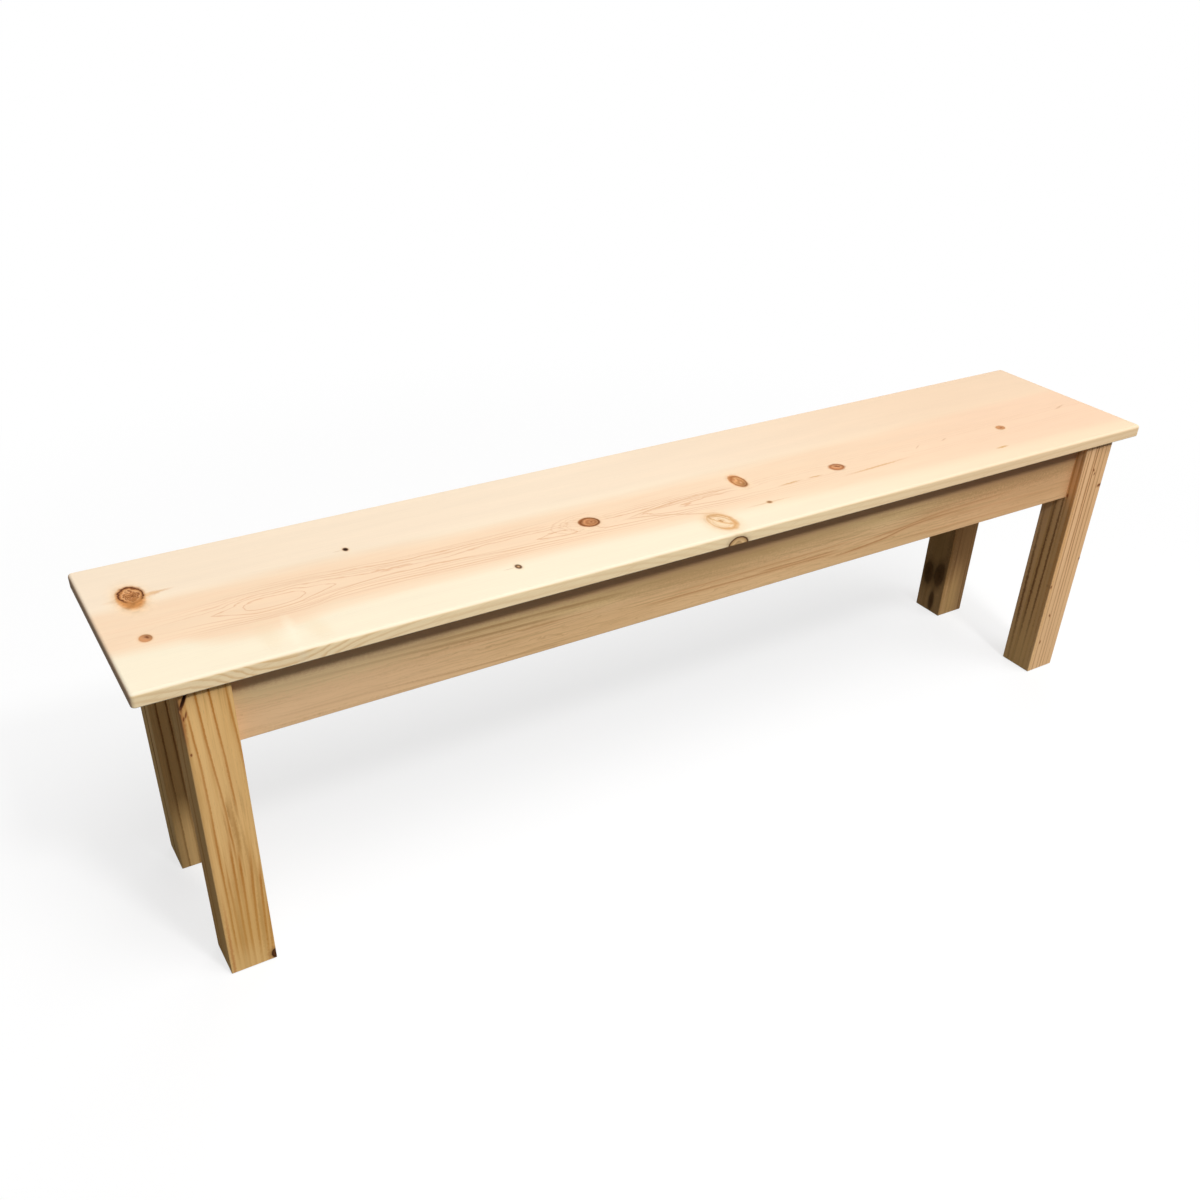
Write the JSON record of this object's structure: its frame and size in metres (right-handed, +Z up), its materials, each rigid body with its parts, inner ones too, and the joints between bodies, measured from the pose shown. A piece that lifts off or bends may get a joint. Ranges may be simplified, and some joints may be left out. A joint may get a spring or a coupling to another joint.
{
  "type": "dining bench",
  "caption": "Long backless dining bench in bare knotty pine: a plank seat on square legs, joined under its edge by set-back aprons.",
  "frame": {"origin": "on the floor under the middle of the seat", "axes": "+X along the bench, to the right seen from the front; +Y from front to back; +Z up"},
  "size_m": [1.524, 0.2858, 0.427],
  "materials": {
    "seat_pine": "bare, planed",
    "leg_pine": "bare, planed",
    "apron_pine": "bare, planed",
    "inner_pine": "bare, sawn",
    "screw_steel": "zinc plated"
  },
  "bodies": {
    "root": {"seat_board": "seat_pine", "leg_front_left": "leg_pine", "leg_front_right": "leg_pine", "leg_back_right": "leg_pine", "leg_back_left": "leg_pine", "apron_front": "apron_pine", "apron_back": "apron_pine", "apron_left_end": "apron_pine", "apron_right_end": "apron_pine", "cross_rail_left": "inner_pine", "cross_rail_right": "inner_pine", "seat_button_front_1": "inner_pine", "seat_button_front_2": "inner_pine", "seat_button_front_3": "inner_pine", "seat_button_back_1": "inner_pine", "seat_button_back_2": "inner_pine", "seat_button_back_3": "inner_pine", "seat_button_left_end": "inner_pine", "seat_button_right_end": "inner_pine", "button_screws": "screw_steel", "rail_screws": "screw_steel"}
  },
  "joints": []
}
